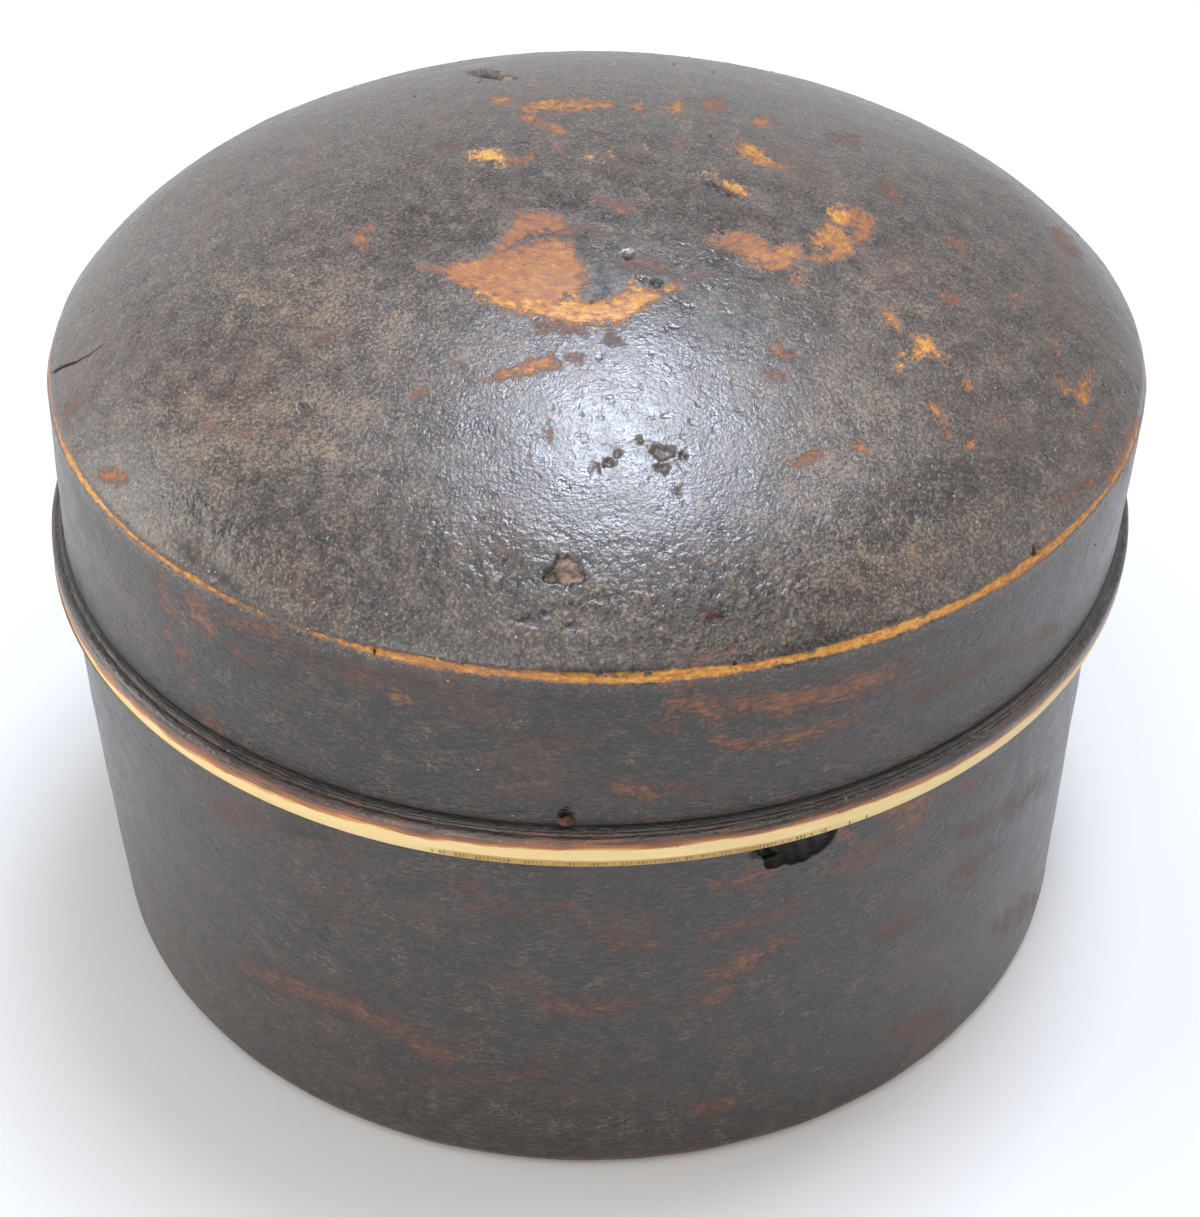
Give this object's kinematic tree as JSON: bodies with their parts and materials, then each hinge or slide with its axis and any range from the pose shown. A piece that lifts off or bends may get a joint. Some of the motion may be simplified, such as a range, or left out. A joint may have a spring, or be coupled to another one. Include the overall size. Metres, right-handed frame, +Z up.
{
  "type": "round lidded box",
  "caption": "Round turned wooden box: a bowl with a raised neck and a domed, flanged lid that lifts off it.",
  "frame": {"origin": "middle of the plane that the base's foot ring stands on", "axes": "+Z up along the turning axis, -Y towards the side that the picture shows, +X to its right"},
  "size_m": [0.16, 0.16, 0.1204],
  "materials": {
    "lacquered_wood": "old dark lacquer, satin, worn"
  },
  "bodies": {
    "base": {"base": "lacquered_wood"},
    "lid": {"lid": "lacquered_wood"}
  },
  "joints": [
    {"name": "lid_lift", "type": "slide", "parent": "base", "child": "lid", "axis": [0, 0, 1], "range_m": [0, 0.06]}
  ]
}
